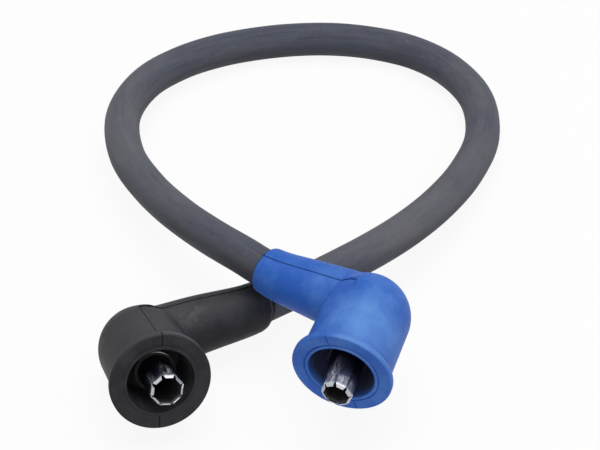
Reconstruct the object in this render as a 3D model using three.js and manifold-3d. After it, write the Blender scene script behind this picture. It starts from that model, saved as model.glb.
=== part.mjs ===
// Ignition coil wire: an 8 mm high-tension lead in a loop, with a right-angle
// rubber boot and a snap terminal on each end. Millimetres, +Z up, lying on z = 0.
import * as THREE from 'three';
import * as BufferGeometryUtils from 'three/addons/utils/BufferGeometryUtils.js';
import Module from 'manifold-3d';

const wasm = await Module();
wasm.setup();

// Clearance between pieces that touch on the real lead
const fit = 0.3;

// Cable
const jacketRadius = 4.0;
const coreRadius = 0.9;
const jacketSides = 12;
const coreSides = 8;
const cableSteps = 48;

// Boot cup, measured from the corner where the cup axis meets the cable axis
const mouthReach = 17.5;
const cupRadius = 8.85;
const domeOffset = 2.0;
const cupFlare = 0.2;
const flangeRadius = 10.3;
const flangeThickness = 1.4;
const flangeFillet = 0.9;
const edgeRadius = 0.4;
const socketRadius = 6.8;
const socketDepth = 10.8;
const socketDraft = 0.25;
const lipWidth = 0.7;
const lipDrop = 0.15;
const faceGrooveWidth = 0.35;
const faceGrooveDepth = 0.35;

// Boot sleeve
const sleeveRootRadius = 6.9;
const tipFace = 0.1;
const partingStep = 0.15;

// Stamped terminal
const sheet = 0.35;
const barrelRadius = 3.5;
const barrelLength = 10.8;
const petalCount = 8;
const slotWidth = 0.2;
const slotLength = 5.6;
const tipLength = 0.84;
const tipInset = 0.54;
const notchWidth = 0.7;
const notchDepth = 1.1;
const waistDepth = 0.22;
const waistLength = 2.6;
const collarHeight = 0.3;
const collarWidth = 0.9;
const neckRadius = 2.6;
const shoulderLength = 1.5;
const jacketGripStart = 3.4;
const jacketGripLength = 6.0;
const gripSeam = 0.8;
const bridgeDrop = 1.1;
const foldSetback = 2.8;
const foldWidth = 2.6;
const coreGripLength = 3.6;

// Where the stripped cable ends, back from the jacket grip and from the fold
const jacketInset = 0.4;
const coreInset = 0.5;

// Each end of the lead: the boot's corner, the way its mouth faces and the way its sleeve leaves,
// how far its sleeve and its terminal reach, how much further the sleeve's end reaches at the mouth's
// side and at the +Y side, the first slot's turn in degrees round the terminal, and how far
// the terminal leans sideways at its rim
const blueEnd = {
  corner: new THREE.Vector3(12.8, -43.0, 20.1),
  mouth: new THREE.Vector3(-0.334, -0.942, -0.026),
  sleeve: new THREE.Vector3(-0.865, 0.497, -0.066),
  sleeveReach: 24.1,
  tipSlant: [0, 0],
  tipRadius: 4.85,
  tipRounding: 0.5,
  barrelReach: 23.0,
  slotTurn: 3,
  lean: [-0.75, 0.29],
};
const blackEnd = {
  corner: new THREE.Vector3(-33.5, -42.64, 8.28),
  mouth: new THREE.Vector3(0.296, -0.881, 0.368),
  sleeve: new THREE.Vector3(0.891, 0.453, -0.013),
  sleeveReach: 27.1,
  tipSlant: [0.75, 1.0],
  tipRadius: 5.15,
  tipRounding: 1.1,
  barrelReach: 22.0,
  slotTurn: 7,
  lean: [0.3, 0],
};
const straightRun = 13;

// The lie of the free cable, from the blue boot round the loop to the black boot
const cableLie = [
  [-4.9, -33.0, 18.9],
  [-8.9, -29.7, 18.4],
  [-12.5, -26.0, 17.7],
  [-19.8, -18.2, 15.6],
  [-27.1, -9.2, 13.3],
  [-34.0, 1.5, 10.9],
  [-39.7, 14.2, 8.8],
  [-41.4, 29.2, 7.2],
  [-37.0, 42.2, 5.9],
  [-29.3, 50.7, 5.0],
  [-20.6, 56.2, 4.4],
  [-11.3, 59.6, 4.1],
  [-1.7, 61.5, 4.0],
  [7.9, 61.9, 4.0],
  [17.4, 60.6, 4.0],
  [26.7, 57.4, 4.0],
  [34.8, 50.9, 4.2],
  [40.7, 40.2, 4.6],
  [41.2, 25.9, 5.3],
  [36.5, 12.4, 6.5],
  [30.0, 1.1, 8.0],
  [22.7, -8.3, 9.3],
  [15.3, -15.7, 10.2],
  [7.9, -21.1, 10.0],
  [-0.2, -25.8, 8.9],
  [-5.8, -28.7, 8.1],
  [-11.3, -31.7, 7.6],
];

// A closed three.js geometry as a solid, and back
function solidFrom(geometry) {
  const bare = geometry.clone();
  bare.deleteAttribute('normal');
  bare.deleteAttribute('uv');
  const merged = BufferGeometryUtils.mergeVertices(bare, 1e-5);
  const mesh = new wasm.Mesh({
    numProp: 3,
    vertProperties: new Float32Array(merged.attributes.position.array),
    triVerts: new Uint32Array(merged.index.array),
  });
  return new wasm.Manifold(mesh);
}

function geometryFrom(solid) {
  const mesh = solid.getMesh();
  const geometry = new THREE.BufferGeometry();
  geometry.setAttribute('position', new THREE.BufferAttribute(mesh.vertProperties, 3));
  geometry.setIndex(new THREE.BufferAttribute(mesh.triVerts, 1));
  geometry.computeVertexNormals();
  return geometry;
}

// A revolved solid about Z, from a profile of [radius, height] that starts and ends on the axis
function revolve(profile, segments, turn = 0) {
  const points = profile.map(([radius, height]) => new THREE.Vector2(radius, height));
  const geometry = new THREE.LatheGeometry(points, segments);
  geometry.rotateX(Math.PI / 2);
  geometry.rotateZ(turn);
  return solidFrom(geometry);
}

// A block from its size and centre
function block(width, depth, height, x, y, z) {
  const geometry = new THREE.BoxGeometry(width, depth, height);
  geometry.translate(x, y, z);
  return solidFrom(geometry);
}

// A solid through a row of rings of points, closed by a flat cap at each end
function loft(rings) {
  const count = rings[0].length;
  const positions = [];
  const indices = [];
  for (const ring of rings) {
    for (const point of ring) {
      positions.push(point.x, point.y, point.z);
    }
  }
  for (let i = 0; i < rings.length - 1; i += 1) {
    for (let j = 0; j < count; j += 1) {
      const a = i * count + j;
      const b = i * count + ((j + 1) % count);
      indices.push(a, b, a + count);
      indices.push(b, b + count, a + count);
    }
  }
  for (const end of [0, rings.length - 1]) {
    const centre = new THREE.Vector3();
    for (const point of rings[end]) {
      centre.addScaledVector(point, 1 / count);
    }
    const middle = positions.length / 3;
    positions.push(centre.x, centre.y, centre.z);
    for (let j = 0; j < count; j += 1) {
      const a = end * count + j;
      const b = end * count + ((j + 1) % count);
      if (end === 0) {
        indices.push(middle, b, a);
      } else {
        indices.push(middle, a, b);
      }
    }
  }
  const geometry = new THREE.BufferGeometry();
  geometry.setAttribute('position', new THREE.Float32BufferAttribute(positions, 3));
  geometry.setIndex(indices);
  return solidFrom(geometry);
}

// An end's own frame: origin at the corner, Z out of the mouth, X on the sleeve's side
function endFrame({ corner, mouth, sleeve }) {
  const z = mouth.clone().normalize();
  const x = sleeve.clone().addScaledVector(z, -sleeve.dot(z)).normalize();
  const y = z.clone().cross(x);
  return new THREE.Matrix4().makeBasis(x, y, z).setPosition(corner);
}

// The whole cable axis, straight in the first part of each sleeve and a little past each corner
const pastCorner = foldSetback + 1;

function straightPoint({ corner, sleeve }, distance) {
  return corner.clone().addScaledVector(sleeve.clone().normalize(), distance);
}

const routePoints = [];
for (const distance of [-pastCorner, 0, straightRun / 2, straightRun]) {
  routePoints.push(straightPoint(blueEnd, distance));
}
for (const [x, y, z] of cableLie) {
  routePoints.push(new THREE.Vector3(x, y, z));
}
for (const distance of [straightRun, straightRun / 2, 0, -pastCorner]) {
  routePoints.push(straightPoint(blackEnd, distance));
}
const route = new THREE.CatmullRomCurve3(routePoints, false, 'centripetal');
route.arcLengthDivisions = 4000;
const routeLength = route.getLength();

// A place on the cable axis, by its distance from an end's corner, in that end's frame
function axisPlace(end, distance) {
  const fromBlue = end === blueEnd;
  const share = (distance + pastCorner) / routeLength;
  const u = fromBlue ? share : 1 - share;
  const inverse = endFrame(end).invert();
  const point = route.getPointAt(u).applyMatrix4(inverse);
  const tangent = route.getTangentAt(u).transformDirection(inverse);
  if (!fromBlue) {
    tangent.negate();
  }
  return { point, tangent };
}

// A ring of points square to the cable axis, or slanted, and larger by `step` away from the mouth
function axisRing(end, distance, radius, sides, step = 0, slant = [0, 0]) {
  const { point, tangent } = axisPlace(end, distance);
  const back = new THREE.Vector3(0, 0, -1).addScaledVector(tangent, tangent.z).normalize();
  const side = tangent.clone().cross(back);
  const ring = [];
  const put = (angle, r) => {
    const across = back.clone().multiplyScalar(Math.cos(angle)).addScaledVector(side, Math.sin(angle));
    const ahead = slant[1] * Math.sin(angle) - slant[0] * Math.cos(angle);
    ring.push(point.clone().addScaledVector(across, r).addScaledVector(tangent, ahead));
  };
  for (let i = 0; i < sides; i += 1) {
    const angle = (i / sides) * 2 * Math.PI - Math.PI / 2;
    const isBack = i < sides / 2;
    if (step > 0 && i === 0) {
      put(angle, radius);
    }
    put(angle, isBack ? radius + step : radius);
    if (step > 0 && i === sides / 2 - 1) {
      put(Math.PI / 2, radius + step);
    }
  }
  return ring;
}

// Boot sleeve: tapered, following the cable, with a rounded tip
function sleeveSolid(end) {
  const { sleeveReach, tipSlant, tipRadius, tipRounding } = end;
  const rings = [];
  const sides = 24;
  const taper = (sleeveRootRadius - tipRadius) / sleeveReach;
  const stations = 8;
  for (let i = 0; i <= stations; i += 1) {
    const distance = ((sleeveReach - tipRounding) * i) / stations;
    const slant = i === stations ? tipSlant : [0, 0];
    rings.push(axisRing(end, distance, sleeveRootRadius - taper * distance, sides, partingStep, slant));
  }
  const shrink = tipRadius - jacketRadius - fit - tipFace;
  for (const angle of [30, 60, 90]) {
    const a = THREE.MathUtils.degToRad(angle);
    const distance = sleeveReach - tipRounding * (1 - Math.sin(a));
    const radius = tipRadius - shrink * (1 - Math.cos(a));
    rings.push(axisRing(end, distance, radius, sides, partingStep, tipSlant));
  }
  return loft(rings);
}

// Space inside a boot along the cable axis: a pocket for the jacket grip, then the cable bore
function cableSpace(end) {
  const gripOuter = jacketRadius + fit + sheet;
  const pocketEnd = jacketGripStart + jacketGripLength + fit;
  const rings = [];
  const sides = 20;
  for (const distance of [-foldSetback - fit, pocketEnd]) {
    rings.push(axisRing(end, distance, gripOuter + fit, sides));
  }
  const boreStart = pocketEnd + sheet + fit;
  const boreEnd = end.sleeveReach + 2;
  const stations = 6;
  for (let i = 0; i <= stations; i += 1) {
    const distance = boreStart + ((boreEnd - boreStart) * i) / stations;
    rings.push(axisRing(end, distance, jacketRadius + fit, sides));
  }
  return loft(rings);
}

// Outer form of the cup: domed corner, slightly flared body and a thin flange at the mouth
function cupOutline(grow) {
  const profile = [];
  const radius = cupRadius + grow;
  for (let i = 0; i <= 8; i += 1) {
    const angle = (i / 8) * (Math.PI / 2);
    profile.push([radius * Math.sin(angle), domeOffset - radius * Math.cos(angle)]);
  }
  profile[0][0] = 0;
  return profile;
}

function cupSolid() {
  const profile = cupOutline(0);
  const bodyTop = cupRadius + cupFlare;
  const flangeBack = mouthReach - flangeThickness;
  const rise = flangeRadius - bodyTop;
  profile.push([bodyTop, flangeBack - flangeFillet]);
  for (const angle of [30, 60]) {
    const a = THREE.MathUtils.degToRad(angle);
    const radius = bodyTop + Math.min(rise, flangeFillet) * (1 - Math.cos(a));
    profile.push([radius, flangeBack - flangeFillet * (1 - Math.sin(a))]);
  }
  profile.push([flangeRadius - edgeRadius * 0.4, flangeBack]);
  profile.push([flangeRadius, flangeBack + edgeRadius * 0.6]);
  for (const angle of [0, 30, 60, 90]) {
    const a = THREE.MathUtils.degToRad(angle);
    const radius = flangeRadius - edgeRadius * (1 - Math.cos(a));
    profile.push([radius, mouthReach - edgeRadius * (1 - Math.sin(a))]);
  }
  const grooveOuter = socketRadius + lipWidth + faceGrooveWidth;
  const grooveInner = socketRadius + lipWidth;
  profile.push([grooveOuter, mouthReach]);
  profile.push([grooveOuter - faceGrooveWidth * 0.25, mouthReach - faceGrooveDepth]);
  profile.push([grooveInner + faceGrooveWidth * 0.25, mouthReach - faceGrooveDepth]);
  profile.push([grooveInner, mouthReach - lipDrop]);
  profile.push([0, mouthReach - lipDrop]);
  return revolve(profile, 36);
}

// Where the mould halves meet, the outer side of the cup stands slightly proud
function cupPartingStep() {
  const profile = cupOutline(partingStep);
  const top = mouthReach - flangeThickness - flangeFillet;
  profile.push([cupRadius + cupFlare + partingStep, top]);
  profile.push([0, top]);
  const half = block(40, 40, 60, -20, 0, 0);
  return revolve(profile, 36).intersect(half);
}

// The socket in the cup and the throat that the terminal's neck stands in
function socketSpace() {
  const floor = mouthReach - socketDepth;
  const floorRadius = socketRadius - socketDraft;
  const profile = [[0, 0]];
  profile.push([neckRadius + fit, 0]);
  profile.push([neckRadius + fit, floor]);
  for (const angle of [90, 60, 30, 0]) {
    const a = THREE.MathUtils.degToRad(angle);
    profile.push([floorRadius - 1 + Math.cos(a), floor + 1 - Math.sin(a)]);
  }
  profile.push([socketRadius, mouthReach - lipDrop - edgeRadius]);
  profile.push([socketRadius + edgeRadius * 0.3, mouthReach - lipDrop - edgeRadius * 0.3]);
  profile.push([socketRadius + edgeRadius, mouthReach - lipDrop]);
  profile.push([socketRadius + edgeRadius, mouthReach + 1]);
  profile.push([0, mouthReach + 1]);
  return revolve(profile, 32);
}

function bootSolid(end) {
  return cupSolid()
    .add(cupPartingStep())
    .add(sleeveSolid(end))
    .subtract(socketSpace())
    .subtract(cableSpace(end));
}

// Moves a geometry sideways above a height, the more the higher
function leanOver(geometry, foot, slope) {
  const position = geometry.attributes.position;
  for (let i = 0; i < position.count; i += 1) {
    const rise = Math.max(0, position.getZ(i) - foot);
    position.setX(i, position.getX(i) + rise * slope[0]);
    position.setY(i, position.getY(i) + rise * slope[1]);
  }
}

// A cut through the rim that is widest at the rim and runs out to a point below it
function rimNotch(height, turn) {
  const geometry = new THREE.BoxGeometry(3 * barrelRadius, Math.SQRT1_2, Math.SQRT1_2);
  geometry.rotateX(Math.PI / 4);
  geometry.scale(1, notchWidth, 2 * notchDepth);
  geometry.translate(0, 0, height);
  geometry.rotateZ(turn);
  return solidFrom(geometry);
}

// Snap socket of the terminal: round at the collar, eight flat petals with inturned tips above
function socketShell({ barrelReach, slotTurn, lean }) {
  const base = barrelReach - barrelLength;
  const neckTop = base - shoulderLength;
  const gripOuter = jacketRadius + fit + sheet;
  const neckFoot = gripOuter - bridgeDrop + fit;
  const petalFoot = barrelReach - slotLength - 1.2;
  const tipFoot = barrelReach - tipLength;
  const waist = tipFoot - waistLength / 2;
  const inner = barrelRadius - sheet;
  const lower = [
    [neckRadius, neckFoot],
    [neckRadius, neckTop],
    [barrelRadius, base],
    [barrelRadius, base + collarWidth * 0.3],
    [barrelRadius + collarHeight, base + collarWidth * 0.55],
    [barrelRadius + collarHeight, base + collarWidth * 0.85],
    [barrelRadius, base + collarWidth * 1.1],
    [barrelRadius, petalFoot],
    [inner, petalFoot],
    [inner, base + sheet * 0.3],
    [neckRadius - sheet, neckTop + sheet * 0.3],
    [neckRadius - sheet, neckFoot],
    [neckRadius, neckFoot],
  ];
  const upper = [
    [barrelRadius, petalFoot - 0.4],
    [barrelRadius, waist - waistLength / 2],
    [barrelRadius - waistDepth, waist],
    [barrelRadius, waist + waistLength / 2],
    [barrelRadius - tipInset, barrelReach],
    [barrelRadius - tipInset - sheet * 0.8, barrelReach - sheet * 0.7],
    [inner, tipFoot],
    [inner - waistDepth, waist],
    [inner, waist - waistLength / 2],
    [inner, petalFoot - 0.4],
    [barrelRadius, petalFoot - 0.4],
  ];
  const firstSlot = THREE.MathUtils.degToRad(slotTurn);
  let shell = revolve(lower, 24).add(revolve(upper, petalCount, firstSlot));
  for (let i = 0; i < petalCount / 2; i += 1) {
    const geometry = new THREE.BoxGeometry(3 * barrelRadius, slotWidth, slotLength + 1);
    geometry.translate(0, 0, barrelReach - slotLength + (slotLength + 1) / 2);
    const turn = firstSlot + (2 * Math.PI * i) / petalCount;
    geometry.rotateZ(turn);
    shell = shell.subtract(solidFrom(geometry)).subtract(rimNotch(barrelReach, turn));
  }
  const standing = geometryFrom(shell);
  leanOver(standing, base, lean.map((offset) => offset / barrelLength));
  return solidFrom(standing);
}

// An open ring section, extruded along X from `start`, with its seam away from the mouth
function gripShell(inner, start, length, sides) {
  const seam = gripSeam / 2 / (inner + sheet / 2);
  const shape = new THREE.Shape();
  const outer = inner + sheet;
  const from = -Math.PI / 2 + seam;
  const span = 2 * Math.PI - 2 * seam;
  for (let i = 0; i <= sides; i += 1) {
    const angle = from + (span * i) / sides;
    const x = outer * Math.cos(angle);
    const y = outer * Math.sin(angle);
    if (i === 0) {
      shape.moveTo(x, y);
    } else {
      shape.lineTo(x, y);
    }
  }
  for (let i = sides; i >= 0; i -= 1) {
    const angle = from + (span * i) / sides;
    shape.lineTo(inner * Math.cos(angle), inner * Math.sin(angle));
  }
  shape.closePath();
  const geometry = new THREE.ExtrudeGeometry(shape, { depth: length, bevelEnabled: false });
  geometry.applyMatrix4(new THREE.Matrix4().makeBasis(
    new THREE.Vector3(0, 1, 0),
    new THREE.Vector3(0, 0, 1),
    new THREE.Vector3(1, 0, 0),
  ));
  geometry.translate(start, 0, 0);
  return solidFrom(geometry);
}

// Stamped terminal: jacket grip, bridge, fold, core grip, neck and snap socket in one piece
function terminalSolid(end) {
  const gripInner = jacketRadius + fit;
  const gripOuter = gripInner + sheet;
  const gripEnd = jacketGripStart + jacketGripLength;
  const bridgeLow = gripOuter - bridgeDrop;
  let strip = gripShell(gripInner, -foldSetback, gripEnd + foldSetback, 22);
  const cutLength = jacketGripStart + foldSetback + 1;
  const cutHeight = gripOuter + bridgeLow + 1;
  const cutX = jacketGripStart - cutLength / 2;
  strip = strip.subtract(block(cutLength, 3 * gripOuter, cutHeight, cutX, 0, bridgeLow - cutHeight / 2));
  const foldHeight = gripInner + sheet * 0.5;
  const fold = block(sheet, foldWidth, foldHeight, -foldSetback + sheet / 2, 0, foldHeight / 2);
  const coreGrip = gripShell(coreRadius + fit, -foldSetback, coreGripLength, 10);
  const along = axisPlace(end, 0).tangent;
  const tilt = Math.atan2(along.z, along.x);
  const turned = new THREE.Matrix4().makeRotationY(-tilt);
  const grips = geometryFrom(strip.add(fold).add(coreGrip));
  grips.applyMatrix4(turned);
  return socketShell(end).add(solidFrom(grips));
}

// A stretch of the cable axis between two distances from its start
function routeStretch(from, to) {
  const points = [];
  const samples = 120;
  for (let i = 0; i <= samples; i += 1) {
    points.push(route.getPointAt((from + ((to - from) * i) / samples) / routeLength));
  }
  return new THREE.CatmullRomCurve3(points, false, 'centripetal');
}

function polygon(radius, sides) {
  const points = [];
  for (let i = 0; i < sides; i += 1) {
    const angle = (i / sides) * 2 * Math.PI;
    points.push(new THREE.Vector2(radius * Math.cos(angle), radius * Math.sin(angle)));
  }
  return points;
}

function jacketGeometry() {
  const inset = pastCorner + jacketGripStart - jacketInset;
  const shape = new THREE.Shape(polygon(jacketRadius, jacketSides));
  shape.holes.push(new THREE.Path(polygon(coreRadius + fit, coreSides)));
  return new THREE.ExtrudeGeometry(shape, {
    steps: cableSteps,
    bevelEnabled: false,
    extrudePath: routeStretch(inset, routeLength - inset),
  });
}

function coreGeometry() {
  const inset = pastCorner - foldSetback + sheet + coreInset;
  return new THREE.ExtrudeGeometry(new THREE.Shape(polygon(coreRadius, coreSides)), {
    steps: cableSteps,
    bevelEnabled: false,
    extrudePath: routeStretch(inset, routeLength - inset),
  });
}

const jacketRubber = new THREE.MeshStandardMaterial({ color: '#50545f', roughness: 0.8, metalness: 0 });
const coreMetal = new THREE.MeshStandardMaterial({ color: '#8f9296', roughness: 0.45, metalness: 1 });
const blackRubber = new THREE.MeshStandardMaterial({ color: '#2c2c30', roughness: 0.75, metalness: 0 });
const blueRubber = new THREE.MeshStandardMaterial({ color: '#3366bb', roughness: 0.7, metalness: 0 });
const platedSteel = new THREE.MeshStandardMaterial({ color: '#c8cbd0', roughness: 0.2, metalness: 1 });

function named(name, geometry, material) {
  const mesh = new THREE.Mesh(geometry, material);
  mesh.name = name;
  return mesh;
}

function endGroup(end, bootName, terminalName, rubber) {
  const group = new THREE.Group();
  endFrame(end).decompose(group.position, group.quaternion, group.scale);
  group.add(named(bootName, geometryFrom(bootSolid(end)), rubber));
  group.add(named(terminalName, geometryFrom(terminalSolid(end)), platedSteel.clone()));
  return group;
}

const lead = new THREE.Group();
lead.add(named('cable_jacket', jacketGeometry(), jacketRubber));
lead.add(named('conductor_core', coreGeometry(), coreMetal));
lead.add(endGroup(blackEnd, 'black_boot', 'black_terminal', blackRubber));
lead.add(endGroup(blueEnd, 'blue_boot', 'blue_terminal', blueRubber));

export default lead;
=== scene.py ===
import math

import bmesh
import bpy
import numpy as np
from mathutils import Matrix, Vector


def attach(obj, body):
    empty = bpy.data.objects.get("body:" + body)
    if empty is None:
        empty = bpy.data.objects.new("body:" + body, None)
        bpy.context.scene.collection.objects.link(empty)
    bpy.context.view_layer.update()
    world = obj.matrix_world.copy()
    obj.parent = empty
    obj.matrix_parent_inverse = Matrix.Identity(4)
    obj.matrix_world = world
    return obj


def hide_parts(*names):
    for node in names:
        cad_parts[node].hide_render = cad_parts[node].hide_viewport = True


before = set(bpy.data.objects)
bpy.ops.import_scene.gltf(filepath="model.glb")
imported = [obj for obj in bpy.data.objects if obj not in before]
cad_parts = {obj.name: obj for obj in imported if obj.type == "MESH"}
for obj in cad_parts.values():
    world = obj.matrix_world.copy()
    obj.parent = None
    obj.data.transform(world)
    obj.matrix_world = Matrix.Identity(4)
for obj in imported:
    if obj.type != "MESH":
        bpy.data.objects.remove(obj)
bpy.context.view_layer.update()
mm = 0.001

# camera: the photograph's view, from in front and above
cameraSetup = {
    "place": (-7.6, -316.5, 313.1),     # mm
    "ahead": (0.0156, 0.7124, -0.7016),
    "up": (-0.0159, 0.7018, 0.7122),
    "lens": 120.0,
    "sensor": 36.0,
}


def makeCamera(setup):
    data = bpy.data.cameras.new("camera")
    data.lens = setup["lens"]
    data.sensor_width = setup["sensor"]
    data.clip_start = 0.01
    data.clip_end = 10.0
    camera = bpy.data.objects.new("camera", data)
    bpy.context.scene.collection.objects.link(camera)
    back = -Vector(setup["ahead"]).normalized()
    right = Vector(setup["up"]).cross(back).normalized()
    up = back.cross(right)
    turn = Matrix((right, up, back)).transposed().to_4x4()
    camera.matrix_world = Matrix.Translation(Vector(setup["place"]) * mm) @ turn
    bpy.context.scene.camera = camera


makeCamera(cameraSetup)

# the lead's lie, as in the CAD part (mm)
ends = {
    "blue": {
        "corner": (12.8, -43.0, 20.1),
        "mouth": (-0.334, -0.942, -0.026),
        "sleeve": (-0.865, 0.497, -0.066),
        "sleeveReach": 24.1,
        "tipSlant": (0.0, 0.0),
        "tipRadius": 4.85,
        "tipRounding": 0.5,
        "crispTip": (0.0, 0.0, 0.5),
        "tipHighlight": 0.0,
        "shadowSkirt": 0.15,
        "barrelReach": 23.0,
        "slotTurn": 3.0,
        "collarHeight": 0.3,
        "collarShine": (60.0, 24.0, 0.0),
        "squeeze": 0.3,         # mm, by which the petals have been pressed together
        # painted highlights, laid as pale streaks down the barrel: angle and width (degrees), length (mm),
        # drift (degrees per mm), strength
        "glintStreaks": [
            (297.0, 16.0, 8.0, -2.2, 0.8),
            (250.0, 18.0, 3.0, 0.0, 0.6),
            (212.0, 14.0, 4.0, 0.0, 0.35),
        ],
        "lean": (-0.75, 0.29),
        "cornerBlend": 0.35,    # mm, how softly cup and sleeve run together
        "grooveDepth": 0.28,
        "lipRound": 0.22,
        "lipRise": 0.08,
        # painted highlights on the lip's and the flange's edges: turn from straight up (degrees), strength
        "paintedEdgeHighlights": [(-20.0, 0.8), (-60.0, 0.3)],
        "paintedLightTowards": (0.25, -0.5, 0.85),   # the direction that surfaces face where they are painted lighter: painted light
        "paintedLightFocus": 3.0,
        "sheenSmear": (10.0, 4.0, 0.0),
        "cornerPaintedLight": 0.25,     # share of that painted light on the corner and the sleeve
        "cupSeam": 0.0,         # how much of the seam line shows on the cup
        "seamTwist": -1.5,      # degrees more of that at the mouth
        "seamTurn": -15.0,      # degrees, by which the cup's seam is turned from square to the sleeve
        "seamDrop": 0.6,        # mm, by which the sleeve's seam lies towards the mouth
    },
    "black": {
        "corner": (-33.5, -42.64, 8.28),
        "mouth": (0.296, -0.881, 0.368),
        "sleeve": (0.891, 0.453, -0.013),
        "sleeveReach": 27.1,
        "tipSlant": (1.15, 1.35),
        "tipRadius": 5.15,
        "tipRounding": 1.1,
        # where the tip is crisper: share up, share towards the mouth, rounding there (mm)
        "crispTip": (0.44, 0.9, 0.4),
        "tipHighlight": 0.2,       # how strong the painted highlight line just before the tip's edge is
        "shadowSkirt": 0.62,       # mm of thin skirt along the cable, painted dark as the contact shadow past the sleeve's end
        "barrelReach": 22.0,
        "slotTurn": 7.0,
        "collarHeight": 0.72,
        "collarShine": (64.0, 20.0, 1.0),   # where its edge shines: turn and width (degrees), strength
        "squeeze": 0.0,
        "glintStreaks": [(68.0, 17.0, 6.5, 1.0, 0.75), (138.0, 12.0, 5.5, 0.0, 0.4)],
        "lean": (0.3, 0.0),
        "cornerBlend": 0.7,
        "grooveDepth": 0.04,
        "lipRound": 0.2,
        "lipRise": 0.0,
        "paintedEdgeHighlights": [(0.0, 0.0), (-50.0, 0.9)],
        "paintedLightTowards": (0.35, -0.1, 1.0),
        "paintedLightFocus": 1.6,
        "sheenSmear": (10.0, 4.5, 0.75),    # painted sheen on the sleeve, broken by smear marks: middle and half length (mm), strength
        "cornerPaintedLight": 0.85,
        "cupSeam": 1.0,
        "seamTwist": 3.5,
        "seamTurn": 8.0,
        "seamDrop": 0.5,
    },
}
straightRun = 13.0
pastCorner = 3.8
cableLie = [
    (-4.9, -33.0, 18.9), (-8.9, -29.7, 18.4), (-12.5, -26.0, 17.7),
    (-19.8, -18.2, 15.6), (-27.1, -9.2, 13.3), (-34.0, 1.5, 10.9),
    (-39.7, 14.2, 8.8), (-41.4, 29.2, 7.2), (-37.0, 42.2, 5.9),
    (-29.3, 50.7, 5.0), (-20.6, 56.2, 4.4), (-11.3, 59.6, 4.1),
    (-1.7, 61.5, 4.0), (7.9, 61.9, 4.0), (17.4, 60.6, 4.0),
    (26.7, 57.4, 4.0), (34.8, 50.9, 4.2), (40.7, 40.2, 4.6),
    (41.2, 25.9, 5.3), (36.5, 12.4, 6.5), (30.0, 1.1, 8.0),
    (22.7, -8.3, 9.3), (15.3, -15.7, 10.2), (7.9, -21.1, 10.0),
    (-0.2, -25.8, 8.9), (-5.8, -28.7, 8.1), (-11.3, -31.7, 7.6),
]


def unit(v):
    v = np.asarray(v, float)
    return v / np.linalg.norm(v)


# a centripetal spline through the points
def smoothRoute(points, stepsPerSpan):
    p = np.asarray(points, float)
    p = np.vstack([2 * p[0] - p[1], p, 2 * p[-1] - p[-2]])
    out = []
    for i in range(1, len(p) - 2):
        p0, p1, p2, p3 = p[i - 1], p[i], p[i + 1], p[i + 2]
        d0 = math.sqrt(np.linalg.norm(p1 - p0))
        d1 = math.sqrt(np.linalg.norm(p2 - p1))
        d2 = math.sqrt(np.linalg.norm(p3 - p2))
        t1 = ((p1 - p0) / d0 - (p2 - p0) / (d0 + d1) + (p2 - p1) / d1) * d1
        t2 = ((p2 - p1) / d1 - (p3 - p1) / (d1 + d2) + (p3 - p2) / d2) * d1
        for k in range(stepsPerSpan):
            t = k / stepsPerSpan
            h = (2 * t**3 - 3 * t**2 + 1, t**3 - 2 * t**2 + t, 3 * t**2 - 2 * t**3, t**3 - t**2)
            out.append(h[0] * p1 + h[1] * t1 + h[2] * p2 + h[3] * t2)
    out.append(p[-2])
    return np.array(out)


def alongSleeve(end, distance):
    return np.array(end["corner"]) + unit(end["sleeve"]) * distance


routePoints = [alongSleeve(ends["blue"], d) for d in (-pastCorner, 0, straightRun / 2, straightRun)]
routePoints += [np.array(p) for p in cableLie]
routePoints += [alongSleeve(ends["black"], d) for d in (straightRun, straightRun / 2, 0, -pastCorner)]
route = smoothRoute(routePoints, 40)
routeAt = np.concatenate([[0], np.cumsum(np.linalg.norm(np.diff(route, axis=0), axis=1))])
routeLength = routeAt[-1]


# points and directions on the route, at distances from its start
def routePlace(distance):
    d = np.atleast_1d(distance)
    point = np.stack([np.interp(d, routeAt, route[:, i]) for i in range(3)], 1)
    ahead = np.stack([np.interp(d + 0.3, routeAt, route[:, i]) for i in range(3)], 1)
    behind = np.stack([np.interp(d - 0.3, routeAt, route[:, i]) for i in range(3)], 1)
    direction = ahead - behind
    return point, direction / np.linalg.norm(direction, axis=1)[:, None]


def linkMesh(name, mesh):
    piece = bpy.data.objects.new(name, mesh)
    bpy.context.scene.collection.objects.link(piece)
    return piece


def finishMesh(bm, name, sharpDegrees=40):
    mesh = bpy.data.meshes.new(name)
    bm.to_mesh(mesh)
    bm.free()
    mesh.polygons.foreach_set("use_smooth", [True] * len(mesh.polygons))
    mesh.set_sharp_from_angle(angle=math.radians(sharpDegrees))
    return mesh


def coordsOf(mesh):
    co = np.empty(len(mesh.vertices) * 3)
    mesh.vertices.foreach_get("co", co)
    return co.reshape(-1, 3)


def setCoords(mesh, co):
    mesh.vertices.foreach_set("co", np.ascontiguousarray(co, dtype=np.float64).ravel())
    mesh.update()


def normalsOf(mesh):
    normals = np.empty(len(mesh.vertices) * 3)
    mesh.vertices.foreach_get("normal", normals)
    return normals.reshape(-1, 3)


def setFloat(mesh, name, values):
    layer = mesh.attributes.new(name, "FLOAT", "POINT")
    layer.data.foreach_set("value", np.asarray(values, float))


def setVector(mesh, name, values):
    layer = mesh.attributes.new(name, "FLOAT_VECTOR", "POINT")
    layer.data.foreach_set("vector", np.ascontiguousarray(values).ravel())


# a point or direction at one distance along a spine
def between(distance, distances, values):
    return np.array([np.interp(distance, distances, values[:, i]) for i in range(3)])


def smoothStep(x):
    x = np.clip(x, 0, 1)
    return x * x * (3 - 2 * x)


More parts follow.
